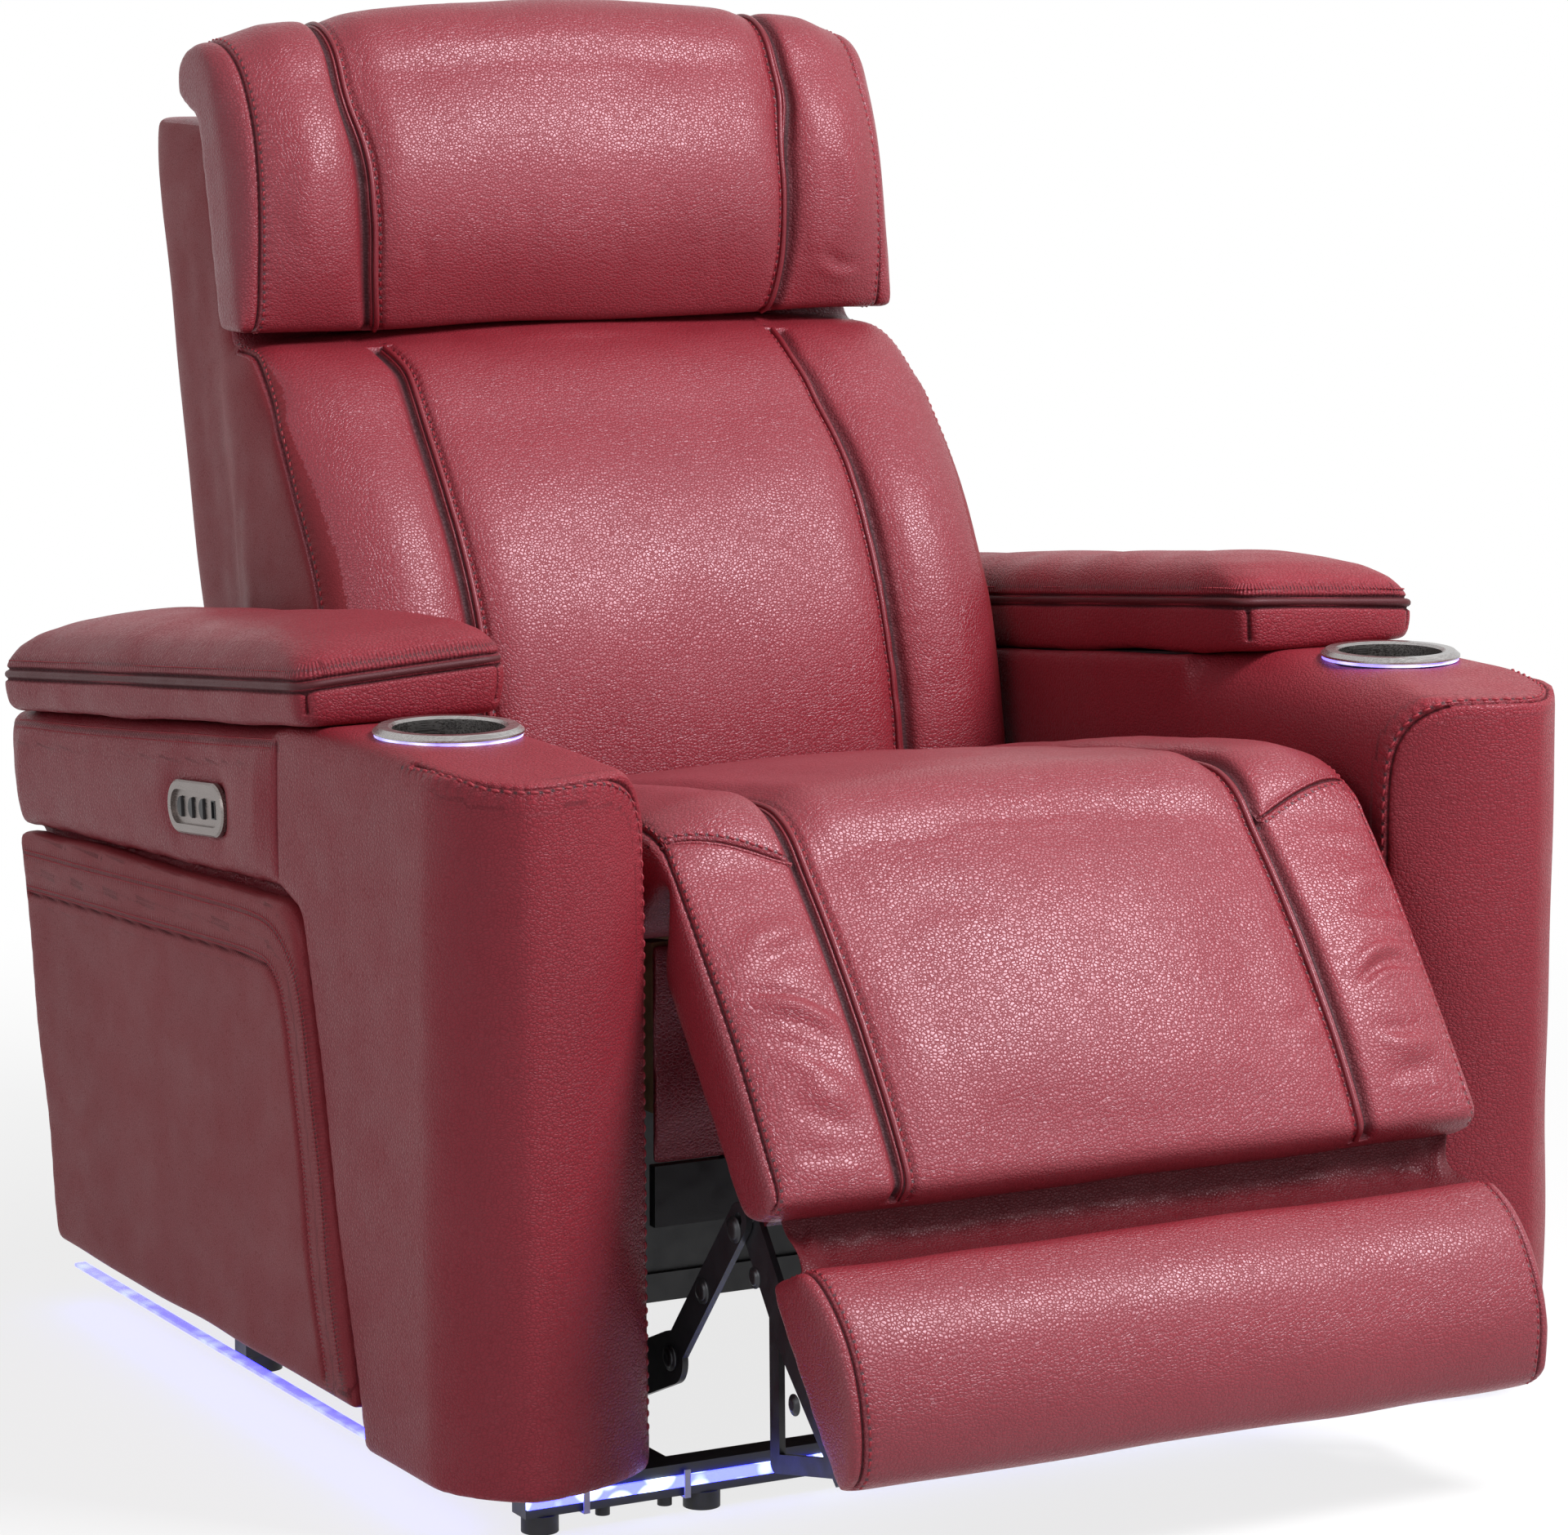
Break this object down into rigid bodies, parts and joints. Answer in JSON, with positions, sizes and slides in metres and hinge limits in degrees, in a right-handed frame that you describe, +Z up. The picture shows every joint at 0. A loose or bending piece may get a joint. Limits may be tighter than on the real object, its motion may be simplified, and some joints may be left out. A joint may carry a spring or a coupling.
{
  "type": "power recliner",
  "caption": "Power recliner chair with a tilting headrest, folding footrest with a second foot pad, storage lids and cup holders in both arms, and a switch plate with a charging slot.",
  "frame": {"origin": "centre of the bounding box on the floor, with the footrest part open as stored", "axes": "+Z up, the chair faces -Y, +X is the left side of the person who sits in it"},
  "size_m": [1.007, 1.28, 1.0915],
  "materials": {
    "leather": "grained burgundy leather, semi-matte",
    "side_leather": "smooth burgundy leather on the arm sides",
    "black_steel": "black powder coat",
    "dark_plastic": "black moulded plastic",
    "foot_rubber": "black rubber",
    "steel": "brushed stainless steel",
    "light": "blue-white light guide",
    "white_plastic": "white nylon",
    "switch_metal": "satin aluminium",
    "timber": "sawn plywood",
    "wire": "drawn spring wire"
  },
  "bodies": {
    "base": {"base_rails": "black_steel", "cable_ties": "white_plastic", "control_box": "dark_plastic", "cross_rail": "black_steel", "cup_lights": "light", "dust_panel": "black_steel", "feet": "foot_rubber", "front_apron": "leather", "front_rail": "black_steel", "left_arm_box": "side_leather", "left_arm_pillar": "leather", "left_cup_holder": "steel", "left_side_band": "side_leather", "left_side_panel": "side_leather", "left_side_plate": "black_steel", "left_storage_bin": "dark_plastic", "legrest_motor": "dark_plastic", "levellers": "black_steel", "lid_hinges": "black_steel", "light_strip": "light", "power_inlet": "dark_plastic", "rear_rail": "black_steel", "recline_motor": "dark_plastic", "right_arm_box": "side_leather", "right_arm_pillar": "leather", "right_cup_holder": "steel", "right_side_band": "side_leather", "right_side_panel": "side_leather", "right_side_plate": "black_steel", "right_storage_bin": "dark_plastic", "seat_cushion": "leather", "seat_front_rail": "timber", "seat_rear_rail": "timber", "seat_side_rails": "timber", "seat_wires": "wire", "switch_bezel": "steel", "switch_panel": "switch_metal", "usb_socket": "dark_plastic"},
    "legrest": {"legrest_pad": "leather", "legrest_board": "timber"},
    "ottoman": {"ottoman_pad": "leather", "ottoman_board": "timber", "ottoman_brackets": "black_steel"},
    "drive_links": {"drive_links": "black_steel"},
    "lower_links": {"lower_links": "black_steel"},
    "back": {"back_board": "timber", "back_shell": "leather", "back_brackets": "black_steel", "back_cushion": "leather", "headrest_motor": "dark_plastic"},
    "headrest": {"headrest_pad": "leather", "headrest_carrier": "black_steel"},
    "left_lid": {"left_lid": "leather"},
    "right_lid": {"right_lid": "leather"},
    "button_1": {"button_1": "switch_metal"},
    "button_2": {"button_2": "switch_metal"},
    "button_3": {"button_3": "switch_metal"},
    "legrest_carriage": {"legrest_carriage": "dark_plastic"},
    "recline_carriage": {"recline_carriage": "dark_plastic"},
    "headrest_carriage": {"headrest_carriage": "dark_plastic"}
  },
  "joints": [
    {"name": "legrest_hinge", "type": "hinge", "parent": "base", "child": "legrest", "pos_m": [0, -0.3733, 0.4865], "axis": [-1, 0, 0], "range_deg": [-37, 47]},
    {"name": "ottoman_slide", "type": "slide", "parent": "legrest", "child": "ottoman", "axis": [0, -0.6101, -0.7923], "range_m": [-0.038, 0.048]},
    {"name": "drive_hinge", "type": "hinge", "parent": "base", "child": "drive_links", "pos_m": [0, -0.2518, 0.3695], "axis": [-1, 0, 0], "range_deg": [-39.2, 49.7]},
    {"name": "elbow_hinge", "type": "hinge", "parent": "drive_links", "child": "lower_links", "pos_m": [0, -0.2443, 0.0705], "axis": [-1, 0, 0], "range_deg": [-40.6, 32]},
    {"name": "legrest_carriage_slide", "type": "slide", "parent": "base", "child": "legrest_carriage", "axis": [0, -1, 0], "range_m": [-0.0372, 0.0472]},
    {"name": "recline_hinge", "type": "hinge", "parent": "base", "child": "back", "pos_m": [0, 0.2422, 0.38], "axis": [-1, 0, 0], "range_deg": [0, 40]},
    {"name": "recline_carriage_slide", "type": "slide", "parent": "base", "child": "recline_carriage", "axis": [0, -1, 0], "range_m": [0, 0.067]},
    {"name": "headrest_hinge", "type": "hinge", "parent": "back", "child": "headrest", "pos_m": [0, 0.3902, 0.813], "axis": [1, 0, 0], "range_deg": [0, 35]},
    {"name": "headrest_carriage_slide", "type": "slide", "parent": "back", "child": "headrest_carriage", "axis": [0, 0.2215, 0.9751], "range_m": [0, 0.0735]},
    {"name": "left_lid_hinge", "type": "hinge", "parent": "base", "child": "left_lid", "pos_m": [0.41575, 0.4692, 0.50882], "axis": [-1, 0, 0], "range_deg": [0, 75]},
    {"name": "right_lid_hinge", "type": "hinge", "parent": "base", "child": "right_lid", "pos_m": [-0.41575, 0.4692, 0.50882], "axis": [-1, 0, 0], "range_deg": [0, 75]},
    {"name": "button_1_press", "type": "slide", "parent": "base", "child": "button_1", "axis": [1, 0, 0], "range_m": [0, 0.0025], "stiffness_N_per_m": 300},
    {"name": "button_2_press", "type": "slide", "parent": "base", "child": "button_2", "axis": [1, 0, 0], "range_m": [0, 0.0025], "stiffness_N_per_m": 300},
    {"name": "button_3_press", "type": "slide", "parent": "base", "child": "button_3", "axis": [1, 0, 0], "range_m": [0, 0.0025], "stiffness_N_per_m": 300}
  ],
  "couplings": [
    {"joint": "ottoman_slide", "follows": "legrest_hinge", "m_per_rad": 0.058},
    {"joint": "drive_hinge", "follows": "legrest_hinge", "ratio": 1.05},
    {"joint": "elbow_hinge", "follows": "legrest_hinge", "ratio": -0.855},
    {"joint": "legrest_carriage_slide", "follows": "legrest_hinge", "m_per_rad": 0.057},
    {"joint": "recline_carriage_slide", "follows": "recline_hinge", "m_per_rad": 0.095},
    {"joint": "headrest_carriage_slide", "follows": "headrest_hinge", "m_per_rad": 0.119}
  ]
}
